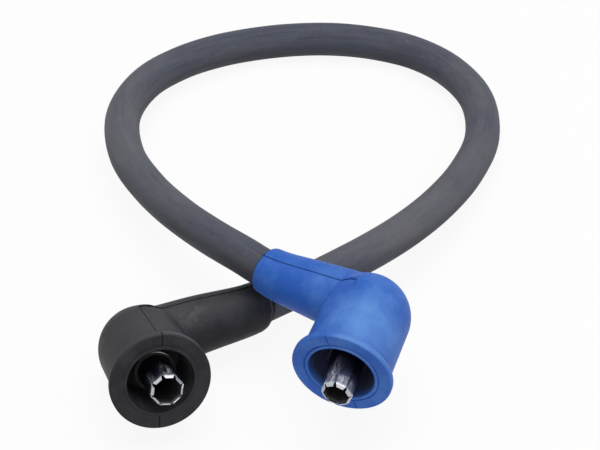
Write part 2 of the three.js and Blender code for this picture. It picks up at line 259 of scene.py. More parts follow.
# cable jacket (mm)
cable = {
    "radius": 4.0,
    "start": 3.8 + 3.4 - 0.4,    # back from the route's ends to the stripped jacket
    "sides": 40,
    "step": 1.6,
    "unevenness": 0.035,         # mm, what an extruded rubber jacket wanders
    "paintedShade": [0.4, 0.35, 0.0, 0.0, 0.0, 0.0, 0.0],     # how much further up the painted shade on the underside reaches
    "dust": [0.1, 0.12, 0.35, 0.5, 0.25, 0.02, 0.1, 0.35, 0.45, 0.55, 0.4, 1.1],    # dust and painted light, evenly along the length; the last value paints the cable lighter where it lies in the blue boot's shade
}


def makeCable(values):
    first, last = values["start"], routeLength - values["start"]
    count = int((last - first) / values["step"]) + 1
    distances = np.linspace(first, last, count)
    centres, directions = routePlace(distances)
    bm = bmesh.new()
    sides = values["sides"]
    side = np.cross(directions[0], [0, 0, 1.0])
    rings = []
    around = []
    facing = []
    ring = bmesh.ops.create_circle(bm, cap_ends=True, segments=sides, radius=values["radius"])["verts"]
    for i in range(count):
        t = directions[i]
        side = unit(side - t * (side @ t))
        up = np.cross(t, side)
        if i:
            loop = set(ring)
            edges = [e for v in ring for e in v.link_edges if e.other_vert(v) in loop]
            made = bmesh.ops.extrude_edge_only(bm, edges=list(dict.fromkeys(edges)))["geom"]
            made = [g for g in made if isinstance(g, bmesh.types.BMVert)]
            # extruded vertices stand on the old ones: pair them by place
            places = {tuple(round(c, 5) for c in v.co): v for v in made}
            ring = [places[tuple(round(c, 5) for c in v.co)] for v in ring]
        wander = values["unevenness"] * math.sin(distances[i] * 0.21) * math.sin(distances[i] * 0.057 + 1.0)
        for k, v in enumerate(ring):
            a = 2 * math.pi * k / sides
            r = values["radius"] - abs(wander) * (0.5 + 0.5 * math.cos(2 * a + distances[i] * 0.02))
            v.co = centres[i] + side * (r * math.cos(a)) + up * (r * math.sin(a))
            around.append((math.cos(a) * values["radius"], math.sin(a) * values["radius"], distances[i]))
            facing.append(side[2] * math.cos(a) + up[2] * math.sin(a))
        rings.append(ring)
    loop = set(ring)
    bmesh.ops.contextual_create(bm, geom=[e for e in bm.edges if e.verts[0] in loop and e.verts[1] in loop])
    bmesh.ops.recalc_face_normals(bm, faces=bm.faces)
    bm.verts.index_update()
    order = [v.index for r in rings for v in r]
    mesh = finishMesh(bm, "cableJacket")
    laid = np.zeros((len(mesh.vertices), 3))
    laid[order] = np.array(around)
    setVector(mesh, "laidFlat", laid * mm)
    upward = np.zeros(len(mesh.vertices))
    upward[order] = np.array(facing)
    share = laid[:, 2] / routeLength
    shadeReach = np.interp(share, np.linspace(0, 1, len(values["paintedShade"])), values["paintedShade"])
    setFloat(mesh, "underside", smoothStep((0.55 + shadeReach - upward) / 0.8))
    setFloat(mesh, "dustAndLightLaid", np.interp(share, np.linspace(0, 1, len(values["dust"])), values["dust"]))
    setCoords(mesh, coordsOf(mesh) * mm)
    piece = linkMesh("cableJacket", mesh)
    return piece, centres * mm


cablePiece, cablePath = makeCable(cable)
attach(cablePiece, "root")
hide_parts("cable_jacket")

# boots (mm)
boot = {
    "mouthReach": 17.5,
    "cupRadius": 8.85,
    "domeOffset": 2.0,
    "cupFlare": 0.2,
    "flangeRadius": 10.3,
    "flangeThickness": 1.4,
    "flangeFillet": 0.9,
    "edgeRadius": 0.4,
    "socketRadius": 6.8,
    "socketDepth": 10.8,
    "socketDraft": 0.25,
    "lipWidth": 0.7,
    "grooveWidth": 0.3,
    "throatRadius": 2.9,
    "throatEnd": 3.0,
    "rootRadius": 6.9,
    "tipFace": 0.1,
    "boreRadius": 4.03,
    "partingStep": 0.12,       # mm, by which the outer mould half stands proud
    "cornerLedge": 0.25,       # mm more at the corner, where the halves meet worst
    "voxel": 0.3,
    "turns": 120,
    "tipSides": 96,
    "sheenTowards": (-0.1, -0.35, 0.93),    # the side of a sleeve that the painted sheen lies on
}


def endAxes(place):
    z = unit(place["mouth"])
    s = unit(place["sleeve"])
    x = unit(s - z * (s @ z))
    y = np.cross(z, x)
    return np.stack([x, y, z])    # rows turn the shared frame into the boot's own


# the cable axis in the boot's own frame: distances from the corner, points, directions
def bootSpine(name, place):
    axes = endAxes(place)
    distances = np.arange(-2.0, place["sleeveReach"] + 2.0, 0.4)
    if name == "blue":
        points, directions = routePlace(distances + pastCorner)
    else:
        points, directions = routePlace(routeLength - pastCorner - distances)
        directions = -directions
    points = (points - np.array(place["corner"])) @ axes.T
    return distances, points, directions @ axes.T


# how far along the cable axis each point is, how far out, and how far to the back
def sleeveFacts(p, spine):
    distances, points, directions = spine
    gap = ((p[:, None, :] - points[None]) ** 2).sum(2)
    near = gap.argmin(1)
    offset = p - points[near]
    t = directions[near]
    ahead = (offset * t).sum(1)
    out = offset - t * ahead[:, None]
    backward = np.array([0, 0, -1.0]) - t * (-t[:, 2:3])
    backward /= np.linalg.norm(backward, axis=1)[:, None]
    return distances[near] + ahead, np.linalg.norm(out, axis=1), (out * backward).sum(1)


def sleeveRadius(s, place):
    share = s / place["sleeveReach"]
    return boot["rootRadius"] + (place["tipRadius"] - boot["rootRadius"]) * share


def cupRadiusAt(z):
    top = boot["mouthReach"] - boot["flangeThickness"] - boot["flangeFillet"]
    share = np.clip((z - boot["domeOffset"]) / (top - boot["domeOffset"]), 0, 1)
    return boot["cupRadius"] + boot["cupFlare"] * share


# signed distance to the line where the two mould halves meet, positive on the outer half
def partingOf(p, spine, place):
    back = sleeveFacts(p, spine)[2]
    towardsMouth = np.clip(p[:, 2] / boot["mouthReach"], 0, 1)
    turn = np.radians(place["seamTurn"] + place["seamTwist"] * towardsMouth)
    outer = p[:, 1] * np.sin(turn) - p[:, 0] * np.cos(turn)
    return np.maximum(outer, back + place["seamDrop"])


# distance to the cup's outer skin, a dome with a slightly flared body on it
def cupDistance(p):
    below = np.minimum(p[:, 2] - boot["domeOffset"], 0)
    return np.sqrt(p[:, 0] ** 2 + p[:, 1] ** 2 + below ** 2) - cupRadiusAt(p[:, 2])


# distance to the blended outer skin of cup and sleeve
def skinDistance(p, spine, place):
    cup = cupDistance(p)
    s, out, _ = sleeveFacts(p, spine)
    behind = np.minimum(s, 0)
    sleeve = np.hypot(out, behind) - sleeveRadius(np.clip(s, 0, None), place)
    blend = place["cornerBlend"]
    mix = np.clip(blend - np.abs(cup - sleeve), 0, None) / blend
    return np.minimum(cup, sleeve) - mix * mix * blend / 4


def settleOnSkin(p, spine, place, rounds=4):
    step = 0.02
    for _ in range(rounds):
        f = skinDistance(p, spine, place)
        slope = np.zeros_like(p)
        for i in range(3):
            d = np.zeros(3)
            d[i] = step
            rise = skinDistance(p + d, spine, place) - skinDistance(p - d, spine, place)
            slope[:, i] = rise / (2 * step)
        size = np.maximum((slope ** 2).sum(1), 0.2)
        p = p - slope * (f / size)[:, None]
    return p


# overlapping domes and cones, joined into one skin by a voxel remesh
def roughSkin(spine, place, cutHeight):
    bm = bmesh.new()
    radius, dome = boot["cupRadius"], boot["domeOffset"]
    bmesh.ops.create_uvsphere(bm, u_segments=48, v_segments=32, radius=radius,
                              matrix=Matrix.Translation((0, 0, dome)))
    height = cutHeight + 2 - dome
    bmesh.ops.create_cone(bm, cap_ends=True, segments=64, radius1=radius, radius2=radius,
                          depth=height, matrix=Matrix.Translation((0, 0, dome + height / 2)))
    distances, points, _ = spine
    stations = np.arange(0, place["sleeveReach"] + 1.5, 1.6)
    for a, b in zip(stations[:-1], stations[1:]):
        pa = between(a - 0.2, distances, points)
        pb = between(b + 0.2, distances, points)
        turn = Vector(pb - pa).to_track_quat("Z", "Y").to_matrix().to_4x4()
        bmesh.ops.create_cone(bm, cap_ends=True, segments=48, radius1=sleeveRadius(a, place),
                              radius2=sleeveRadius(b, place), depth=np.linalg.norm(pb - pa),
                              matrix=Matrix.Translation((pa + pb) / 2) @ turn)
    mesh = bpy.data.meshes.new("roughSkin")
    bm.to_mesh(mesh)
    bm.free()
    rough = linkMesh("roughSkin", mesh)
    remesh = rough.modifiers.new("join", "REMESH")
    remesh.mode = "VOXEL"
    remesh.voxel_size = boot["voxel"]
    remesh.adaptivity = 0.0
    graph = bpy.context.evaluated_depsgraph_get()
    joined = bpy.data.meshes.new_from_object(rough.evaluated_get(graph))
    bpy.data.objects.remove(rough)
    return joined


def openEdges(bm, test):
    return [e for e in bm.edges if e.is_boundary and test(e.verts[0].co) and test(e.verts[1].co)]


# flange, mouth face, lip, socket and throat, turned round the cup's axis
def spunMouth(bm, cutHeight, place):
    grooveDepth, lipRound = place["grooveDepth"], place["lipRound"]
    body, fillet = boot["cupRadius"] + boot["cupFlare"], boot["flangeFillet"]
    rim, top, edge = boot["flangeRadius"], boot["mouthReach"], boot["edgeRadius"]
    socket, draft, throat = boot["socketRadius"], boot["socketDraft"], boot["throatRadius"]
    back = top - boot["flangeThickness"]
    # the flange's back, and its rounded rim
    profile = [(float(cupRadiusAt(cutHeight)), cutHeight), (body, back - fillet - 0.15)]
    for degrees in (0, 18, 36, 54, 72):
        a = math.radians(degrees)
        profile.append((body + fillet * 0.8 * (1 - math.cos(a)), back - fillet * (1 - math.sin(a))))
    profile += [(rim - 0.22, back), (rim - 0.07, back + 0.08), (rim, back + 0.26)]
    for degrees in (0, 15, 30, 45, 60, 75, 90):
        a = math.radians(degrees)
        profile.append((rim - edge * (1 - math.cos(a)), top - edge * (1 - math.sin(a))))
    # the mouth's face, with the groove and the lip
    inner = socket + boot["lipWidth"]
    outer = inner + boot["grooveWidth"]
    for share in (0.75, 0.5, 0.25):
        profile.append((outer + 0.1 + (rim - edge - outer - 0.1) * share, top))
    lip = top + place["lipRise"]
    profile += [
        (outer + 0.06, top), (outer, top - 0.03), (outer - 0.05, top - grooveDepth),
        (inner + 0.05, top - grooveDepth), (inner, lip - 0.08), (inner - 0.03, lip - 0.02),
        (inner - 0.08, lip), (inner - 0.14, lip), (socket + lipRound + 0.06, lip),
    ]
    for degrees in (90, 60, 30, 0):
        a = math.radians(degrees)
        profile.append((socket + lipRound * (1 - math.cos(a)), lip - lipRound * (1 - math.sin(a))))
    # down the socket's wall, over its floor and into the throat
    floor = top - boot["socketDepth"]
    floorRadius = socket - draft
    for share in (0.2, 0.4, 0.6, 0.8):
        profile.append((socket - draft * share, lip - 0.5 + (floor + 1.5 - lip) * share))
    for degrees in (0, 22, 45, 67, 90):
        a = math.radians(degrees)
        profile.append((floorRadius - 1 + math.cos(a), floor + 1 - math.sin(a)))
    profile += [(throat + 0.5, floor), (throat + 0.1, floor - 0.1), (throat, floor - 0.4)]
    profile += [(throat, boot["throatEnd"]), (0.0, boot["throatEnd"])]
    verts = [bm.verts.new((r, 0, z)) for r, z in profile]
    edges = [bm.edges.new(pair) for pair in zip(verts[:-1], verts[1:])]
    bmesh.ops.spin(bm, geom=verts + edges, cent=(0, 0, 0), axis=(0, 0, 1), angle=2 * math.pi,
                   steps=boot["turns"], use_merge=True, use_duplicate=False)
    poles = [v for v in bm.verts if abs(v.co.x) < 1e-4 and abs(v.co.y) < 1e-4]
    bmesh.ops.remove_doubles(bm, verts=poles, dist=1e-4)


# rounded sleeve tip and the first part of the cable bore, as bridged circles
def tipRings(bm, spine, place, cutAt):
    distances, points, directions = spine
    rounding, reach, tip = place["tipRounding"], place["sleeveReach"], place["tipRadius"]
    bore = boot["boreRadius"]
    shrink = tip - bore - boot["tipFace"] - 0.15
    start, roundFrom = cutAt + 0.15, reach - rounding
    # distance along, radius, share of the full rounding still to come, darkness: 1 paints the end's shadow,
    # below 0 a highlight line
    rows = [(s, float(sleeveRadius(s, place)), 1.0, 0.0) for s in np.linspace(start, roundFrom - 0.4, 3)]
    for back in (0.2, 0.1):
        s = roundFrom - back
        rows.append((s, float(sleeveRadius(s, place)), 1.0, -place["tipHighlight"]))
    for degrees in (0, 15, 30, 45, 60, 75, 90):
        a = math.radians(degrees)
        left = 1 - math.sin(a)
        rows.append((reach - rounding * left, tip - shrink * (1 - math.cos(a)), left, min(degrees / 15, 1)))
    skirt = place["shadowSkirt"]
    skirtRows = [(0.04, 0.15), (skirt, 0.1), (skirt + 0.05, 0.03), (skirt, 0.0), (-3.0, 0.0), (-7.0, 0.0)]
    for ahead, wall in skirtRows:
        rows.append((reach + ahead, bore + wall, 0.0, 1.0))
    upShare, mouthShare, crisp = place["crispTip"]
    darkened = bm.verts.layers.float["endEdge"]
    previous = None
    for s, radius, toCome, dark in rows:
        share = float(smoothStep((s - start) / (roundFrom - start)))
        centre = between(s, distances, points)
        t = unit(between(s, distances, directions))
        backward = unit(np.array([0, 0, -1.0]) + t * t[2])
        side = np.cross(t, backward)
        turn = Matrix([[backward[i], side[i], t[i]] for i in range(3)]).to_4x4()
        matrix = Matrix.Translation(Vector(centre)) @ turn
        circle = bmesh.ops.create_circle(bm, cap_ends=False, segments=boot["tipSides"],
                                         radius=radius, matrix=matrix)["verts"]
        for v in circle:
            across = (np.array(v.co) - centre) / radius
            ahead = place["tipSlant"][1] * (across @ side) - place["tipSlant"][0] * (across @ backward)
            crisper = upShare * (across @ side) - mouthShare * (across @ backward)
            ahead += (rounding - crisp) * toCome * float(smoothStep(2 * crisper - 1))
            v.co += Vector(t) * float(ahead * share)
            v[darkened] = dark
        loop = set(circle)
        edges = [e for e in bm.edges if e.verts[0] in loop and e.verts[1] in loop]
        if previous:
            bmesh.ops.bridge_loops(bm, edges=previous + edges)
        previous = edges


# painted highlights on thin edges where they face up: the lip's and the flange's back edge
def paintedEdgeHighlights(p, place, radial):
    up = endAxes(place) @ np.array([0, 0, 1.0])
    fromUp = np.degrees(np.arctan2(p[:, 1], p[:, 0]) - math.atan2(up[1], up[0]))
    edgeHighlight = np.zeros(len(p))
    edges = [
        (boot["socketRadius"] + boot["lipWidth"], boot["mouthReach"] + place["lipRise"]),
        (boot["flangeRadius"], boot["mouthReach"] - boot["flangeThickness"] + 0.2),
    ]
    for (radius, height), (turn, strength) in zip(edges, place["paintedEdgeHighlights"]):
        off = (fromUp - turn + 180) % 360 - 180
        near = np.hypot(radial - radius, p[:, 2] - height)
        edgeHighlight = np.maximum(edgeHighlight, np.exp(-(off / 28) ** 2) * np.clip(1.3 - near / 0.12, 0, 1) * strength)
    return edgeHighlight


def makeBoot(name, place):
    spine = bootSpine(name, place)
    cutHeight = boot["mouthReach"] - boot["flangeThickness"] - boot["flangeFillet"] - 0.5
    cutAt = place["sleeveReach"] - place["tipRounding"] - 2.4
    skin = roughSkin(spine, place, cutHeight)
    setCoords(skin, settleOnSkin(coordsOf(skin), spine, place))
    bm = bmesh.new()
    bm.from_mesh(skin)
    bm.verts.layers.float.new("endEdge")
    bpy.data.meshes.remove(skin)

    def cut(centre, direction):
        geom = bm.verts[:] + bm.edges[:] + bm.faces[:]
        bmesh.ops.bisect_plane(bm, geom=geom, dist=1e-5, plane_co=centre, plane_no=direction,
                               clear_outer=True)

    cut((0, 0, cutHeight), (0, 0, 1))
    distances, points, directions = spine
    cut(Vector(between(cutAt, distances, points)), Vector(unit(between(cutAt, distances, directions))))
    bmesh.ops.remove_doubles(bm, verts=bm.verts, dist=0.03)
    mouthLoop = openEdges(bm, lambda c: abs(c.z - cutHeight) < 0.05)
    tipLoop = openEdges(bm, lambda c: c.z < cutHeight - 1)
    old = set(bm.verts)
    spunMouth(bm, cutHeight + 0.15, place)
    ring = [e for e in openEdges(bm, lambda c: abs(c.z - cutHeight - 0.15) < 0.02) if e.verts[0] not in old]
    bmesh.ops.bridge_loops(bm, edges=mouthLoop + ring)
    old = set(bm.verts)
    tipRings(bm, spine, place, cutAt)
    first = float(sleeveRadius(cutAt + 0.15, place))
    ring = []
    for e in bm.edges:
        if e.is_boundary and e.verts[0] not in old:
            s, out, _ = sleeveFacts(np.array([e.verts[0].co]), spine)
            if abs(s[0] - cutAt - 0.15) < 0.1 and abs(out[0] - first) < 0.1:
                ring.append(e)
    bmesh.ops.bridge_loops(bm, edges=tipLoop + ring)
    bmesh.ops.recalc_face_normals(bm, faces=bm.faces)
    mesh = finishMesh(bm, name + "Boot", 38)

    # the two mould halves meet with a slight step, and the line between them is painted dark as the step's
    # shade
    p = coordsOf(mesh)
    parting = partingOf(p, spine, place)
    s, out, _ = sleeveFacts(p, spine)
    onBore = (s > place["sleeveReach"] - 8) & (out < boot["boreRadius"] + 0.14)
    radial = np.hypot(p[:, 0], p[:, 1])
    onCup = p[:, 2] > cutHeight + 0.1
    inSocket = (radial < boot["socketRadius"] + 0.35) & (s < 12) & (p[:, 2] > 2.9)
    inSocket &= skinDistance(p, spine, place) < -0.5
    normals = normalsOf(mesh)
    outerHalf = smoothStep((parting + 0.02) / 0.2)
    raised = outerHalf * boot["partingStep"]
    ledge = np.exp(-((p[:, 0] - 3) / 2.5) ** 2 - (p[:, 2] / 2.5) ** 2) * (np.abs(p[:, 1]) > 5)
    raised += outerHalf * ledge * boot["cornerLedge"] * smoothStep((2.5 - parting) / 2.5)
    raised[onBore] = 0
    raised[onCup & (radial < boot["flangeRadius"] - 0.5)] = 0
    fade = np.clip((boot["mouthReach"] - boot["flangeThickness"] - 0.2 - p[:, 2]) / 1.2, 0, 1)
    raised *= fade
    setCoords(mesh, p + normals * raised[:, None])
    # painted shadow: the sleeve's end edge and the skirt are painted as dark as the seam line; values below
    # 0 are the painted highlight line before it
    endEdge = np.empty(len(p))
    mesh.attributes["endEdge"].data.foreach_get("value", endEdge)
    tipHighlight = np.clip(-endEdge, 0, 1)
    endEdge = np.clip(endEdge, 0, 1)
    parting = parting * (1 - endEdge)
    parting[onBore | inSocket] = 5
    parting[onCup & (radial < boot["socketRadius"] + boot["lipWidth"])] = 5
    setFloat(mesh, "partingLine", parting * mm)
    # where the seam's painted shade shows: on the sleeve and the mouth's face, and less on the cup
    offCup = cupDistance(p)
    onSleeve = smoothStep((offCup - 0.15) / 0.4) * (p[:, 2] < cutHeight - 1)
    onCorner = smoothStep((2.6 - p[:, 2]) / 1.2) * (p[:, 0] > -2.0)
    onFace = smoothStep((p[:, 2] - boot["mouthReach"] + 0.3) / 0.2) * 0.8
    shown = np.maximum(np.maximum(onSleeve, onCorner), onFace)
    setFloat(mesh, "seamShown", np.maximum(place["cupSeam"] + (1 - place["cupSeam"]) * shown, endEdge))
    setFloat(mesh, "edgeHighlight", np.maximum(paintedEdgeHighlights(p, place, radial), tipHighlight))
    # painted light: surfaces facing the painted light's direction get the bloom colour, more towards the
    # mouth
    lightened = np.clip(normals @ (endAxes(place) @ unit(place["paintedLightTowards"])), 0, 1) ** place["paintedLightFocus"]
    towardsMouth = smoothStep((p[:, 2] - 1) / 9)
    setFloat(mesh, "paintedLight", lightened * (place["cornerPaintedLight"] + (1 - place["cornerPaintedLight"]) * towardsMouth))
    # painted highlight: a paler sheen patch on the sleeve's side that faces between the overhead lamp and
    # the eye
    middle, reach, strength = place["sheenSmear"]
    sheenSide = endAxes(place) @ unit(boot["sheenTowards"])
    seenSide = smoothStep((normals @ sheenSide - 0.72) / 0.25)
    setFloat(mesh, "sheenSmear", np.exp(-((s - middle) / reach) ** 2) * seenSide * (offCup > 0.3) * strength)
    depth = np.clip((boot["mouthReach"] - 0.12 - p[:, 2]) / 1.0, 0, 1)
    setFloat(mesh, "inSocket", inSocket * smoothStep(depth))
    setVector(mesh, "ownPlace", p * mm)
    return mesh


# from the boot's own frame in millimetres to the shared frame in metres
def toRow(mesh, place):
    axes = endAxes(place)
    setCoords(mesh, (coordsOf(mesh) @ axes + np.array(place["corner"])) * mm)


bootPieces = {}
for name, place in ends.items():
    mesh = makeBoot(name, place)
    toRow(mesh, place)
    piece = linkMesh(name + "Boot", mesh)
    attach(piece, "root")
    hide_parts(name + "_boot")
    bootPieces[name] = piece
    print(name, "boot made,", len(mesh.polygons), "faces")

# terminals (mm)
terminal = {
    "sheet": 0.19,
    "radius": 3.5,
    "length": 10.8,
    "petals": 8,
    "slotWidth": 0.14,
    "slotLength": 5.6,
    "tipLength": 0.62,
    "tipInset": 0.38,
    "notchWidth": 0.7,
    "notchDepth": 1.1,
    "waistDepth": 0.22,
    "waistLength": 2.6,
    "collarWidth": 0.16,
    "collarRise": 1.35,
    "neckRadius": 2.6,
    "neckFrom": 4.2,
    "gripsTo": 5.6,         # the CAD solid's grips are kept up to here
    "edgeBevel": 0.05,
    "shoulder": 1.5,
    "perPetal": 12,
}


# the snap socket, from the neck up: a spun outer surface, pressed to eight flats and slotted
def barrelShell(t, place):
    reach = place["barrelReach"]
    base = reach - t["length"]
    neckTop = base - t["shoulder"]
    tipFoot = reach - t["tipLength"]
    waist = tipFoot - t["waistLength"] / 2
    collar = base + t["collarRise"]
    edge = t["radius"] + place["collarHeight"]
    r = t["radius"]
    neck, halfCollar = t["neckRadius"], t["collarWidth"] / 2
    rows = [
        (neck, t["neckFrom"]), (neck, neckTop - 0.6), (neck, neckTop), (neck + 0.12, neckTop + 0.3),
        (r - 0.12, base - 0.3), (r, base), (r, collar - 0.3), (r + 0.1, collar - 0.15),
        (edge - 0.16, collar - 0.1), (edge - 0.05, collar - halfCollar), (edge, collar - 0.03),
        (edge, collar + 0.03), (edge - 0.05, collar + halfCollar), (edge - 0.14, collar + 0.1),
        (edge - 0.2, collar + 0.1), (r + 0.1, collar + 0.15), (r, collar + 0.3),
    ]
    top = collar + 0.3
    for share in (0.25, 0.5, 0.75, 1.0):
        rows.append((r, top + (reach - t["slotLength"] - 0.5 - top) * share))
    foot = reach - t["slotLength"]
    rows += [(r, foot), (r, foot + 0.5), (r, waist - t["waistLength"] / 2)]
    for share in (-0.7, -0.35, 0, 0.35, 0.7, 1.0):
        depth = t["waistDepth"] * 0.5 * (1 + math.cos(math.pi * share))
        rows.append((r - depth, waist + share * t["waistLength"] / 2))
    for share in (0.12, 0.3, 0.6, 1.0):
        rows.append((r - t["tipInset"] * share ** 1.2, tipFoot + t["tipLength"] * share))
    bm = bmesh.new()
    verts = [bm.verts.new((radius, 0, z)) for radius, z in rows]
    edges = [bm.edges.new(pair) for pair in zip(verts[:-1], verts[1:])]
    steps = t["petals"] * t["perPetal"]
    bmesh.ops.spin(bm, geom=verts + edges, cent=(0, 0, 0), axis=(0, 0, 1), angle=2 * math.pi,
                   steps=steps, use_merge=True, use_duplicate=False)
    # slots: the faces beside each corner are taken out, and the petals widened to leave the real gap
    half = math.pi / t["petals"]
    gone = []
    for f in bm.faces:
        c = f.calc_center_median()
        offset = math.atan2(c.y, c.x) % (2 * half)
        if c.z > foot and min(offset, 2 * half - offset) < 2 * half / t["perPetal"]:
            gone.append(f)
    bmesh.ops.delete(bm, geom=gone, context="FACES")
    flatFrom, flatTo = foot - 1.8, foot + 0.4
    for v in bm.verts:
        a = math.atan2(v.co.y, v.co.x)
        radius = math.hypot(v.co.x, v.co.y)
        offset = a % (2 * half) - half
        if v.co.z > foot - 1e-4:
            notch = max(0, v.co.z - (reach - t["notchDepth"])) / t["notchDepth"] * t["notchWidth"] / 2
            wanted = half - (t["slotWidth"] / 2 + notch) / radius
            a += offset * (wanted / (half - 2 * half / t["perPetal"]) - 1)
            offset = a % (2 * half) - half
        share = float(smoothStep(np.array((v.co.z - flatFrom) / (flatTo - flatFrom))))
        scale = 1 + (math.cos(half) / math.cos(offset) - 1) * share
        scale *= 1 - place["squeeze"] / radius * max(0, v.co.z - foot) / t["slotLength"]
        v.co.x, v.co.y = math.cos(a) * radius * scale, math.sin(a) * radius * scale
    bmesh.ops.delete(bm, geom=[v for v in bm.verts if not v.link_faces], context="VERTS")
    bmesh.ops.recalc_face_normals(bm, faces=bm.faces)
    inside = sum((f.calc_center_median() * Vector((1, 1, 0))).dot(f.normal) < 0 for f in bm.faces)
    if inside > len(bm.faces) / 2:
        bmesh.ops.reverse_faces(bm, faces=bm.faces)
    bmesh.ops.solidify(bm, geom=bm.faces[:], thickness=t["sheet"])
    turn = Matrix.Rotation(math.radians(place["slotTurn"]), 3, "Z")
    bmesh.ops.rotate(bm, verts=bm.verts, cent=(0, 0, 0), matrix=turn)
    for v in bm.verts:
        rise = max(0, v.co.z - base) / t["length"]
        v.co.x += place["lean"][0] * rise
        v.co.y += place["lean"][1] * rise
    return bm


def makeTerminal(name, place):
    axes = endAxes(place)
    bm = barrelShell(terminal, place)
    # the grips in the boot keep the CAD solid's own form, cut off below the neck
    grips = bmesh.new()
    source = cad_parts[name + "_terminal"].data.copy()
    setCoords(source, (coordsOf(source) / mm - np.array(place["corner"])) @ axes.T)
    grips.from_mesh(source)
    bmesh.ops.remove_doubles(grips, verts=grips.verts, dist=1e-4)
    bmesh.ops.bisect_plane(grips, geom=grips.verts[:] + grips.edges[:] + grips.faces[:], dist=1e-5,
                           plane_co=(0, 0, terminal["gripsTo"]), plane_no=(0, 0, 1), clear_outer=True)
    grips.to_mesh(source)
    grips.free()
    bm.from_mesh(source)
    bpy.data.meshes.remove(source)
    mesh = finishMesh(bm, name + "Terminal", 32)
    own = coordsOf(mesh)
    setVector(mesh, "ownPlace", own * mm)
    rise = np.clip(own[:, 2] - place["barrelReach"] + terminal["length"], 0, None) / terminal["length"]
    centred = own[:, :2] - np.outer(rise, place["lean"])
    radial = np.hypot(centred[:, 0], centred[:, 1])
    angle = np.degrees(np.arctan2(centred[:, 1], centred[:, 0]))
    outward = (normalsOf(mesh)[:, :2] * centred).sum(1) / np.maximum(radial, 0.01)
    deep = smoothStep((place["barrelReach"] - 0.5 - own[:, 2]) / 0.8)
    deep = deep * (outward < -0.1) * (radial < terminal["radius"])
    turn, width, strength = place["collarShine"]
    lit = np.exp(-(((angle - turn + 180) % 360 - 180) / width) ** 2) * strength
    onCollar = radial > terminal["radius"] + 0.05
    onEdge = radial > terminal["radius"] + place["collarHeight"] - 0.17
    # painted shade: the collar and the barrel's inward faces deep in the socket are painted dark, the collar
    # near black
    setFloat(mesh, "inside", np.where(onCollar, 1, deep))
    setFloat(mesh, "edgeShine", lit * onEdge)
    setFloat(mesh, "paintedShade", onCollar)
    down = place["barrelReach"] - terminal["tipLength"] - own[:, 2]
    # painted highlights: pale streaks down the barrel's outside
    paleMarks = np.zeros(len(own))
    for turn, width, length, drift, strength in place["glintStreaks"]:
        off = (angle - turn - drift * down + 180) % 360 - 180
        along = np.clip(1 - down / length, 0, 1) * (down > -0.15)
        paleMarks = np.maximum(paleMarks, np.exp(-(off / width) ** 2) * smoothStep(along * 1.6) * strength)
    setFloat(mesh, "paleMarks", np.where(onCollar, 0, paleMarks * (outward > 0.1)))
    # painted shade: the barrel is painted darker the deeper it sits in the socket
    setFloat(mesh, "socketShade", smoothStep((down - 0.2) / 1.6))
    toRow(mesh, place)
    piece = linkMesh(name + "Terminal", mesh)
    edge = piece.modifiers.new("stampedEdge", "BEVEL")
    edge.width = terminal["edgeBevel"] * mm
    edge.segments = 2
    edge.limit_method = "ANGLE"
    edge.angle_limit = math.radians(50)
    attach(piece, "root")
    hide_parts(name + "_terminal")
    return piece


terminalPieces = {name: makeTerminal(name, place) for name, place in ends.items()}
print("terminals made")


# an sRGB hex colour as the linear values that Blender wants
def colour(hexValue):
    out = []
    for i in (0, 2, 4):
        c = int(hexValue[i:i + 2], 16) / 255
        out.append(c / 12.92 if c <= 0.04045 else ((c + 0.055) / 1.055) ** 2.4)
    return (*out, 1.0)


def addNode(tree, kind, inputs=None, **settings):
    node = tree.nodes.new(kind)
    for key, value in settings.items():
        setattr(node, key, value)
    for key, value in (inputs or {}).items():
        if isinstance(value, bpy.types.NodeSocket):
            tree.links.new(value, node.inputs[key])
        else:
            node.inputs[key].default_value = value
    return node


# lays colours over one another, each by its own share
def layColours(tree, tone, layers):
    for share, over in layers:
        tone = addNode(tree, "ShaderNodeMix", {0: share, 6: tone, 7: over}, data_type="RGBA").outputs[2]
    return tone


# what the meshes carry for their materials, by attribute name
def carried(tree, *names):
    return [addNode(tree, "ShaderNodeAttribute", attribute_name=name).outputs["Fac"] for name in names]


def newMaterial(name):
    material = bpy.data.materials.new(name)
    material.use_nodes = True
    tree = material.node_tree
    shader = tree.nodes["Principled BSDF"]
    return material, tree, shader


# noise scale whose features are about this many millimetres
def perMetre(sizeMm):
    return 1 / (sizeMm * mm)


rubberLooks = {
    # moulded EPDM rubber: soft broad sheen, faint cloudy bloom, fine spark-eroded grain
    "blackRubber": {
        "base": "1a1a1e", "bloomAndLitTone": "3c3c41", "speck": "8c8c8c", "sheenSmear": "504f52",
        "line": "050506", "deep": "434348", "streak": "6a6a72", "edgeHighlight": "8d8d92",
        "roughness": (0.48, 0.66), "specular": 0.2, "bloomSize": 5.0,
    },
    # moulded silicone rubber, pigmented blue: smoother, with a slightly paler bloom
    "blueRubber": {
        "base": "295fbb", "bloomAndLitTone": "5f90d8", "speck": "7fa6e2", "sheenSmear": "7fa6e2",
        "line": "17346c", "deep": "454c6a", "streak": "7079a0", "edgeHighlight": "8fb2e6",
        "roughness": (0.45, 0.6), "specular": 0.22, "bloomSize": 8.0,
    },
}
# sizes (mm) of what the mould and the handling left on the rubber
rubberMarks = {
    "paleMark": 1.6,
    "speck": 0.55,
    "pull": 0.9,            # pull marks along the socket's wall
    "unevenness": 2.5,
    "grain": 0.35,          # coarser than the real mould grain, so that it shows at all
    "lineFrom": 0.05,       # the seam is full dark to here, and gone at the next value
    "lineTo": 0.17,
}


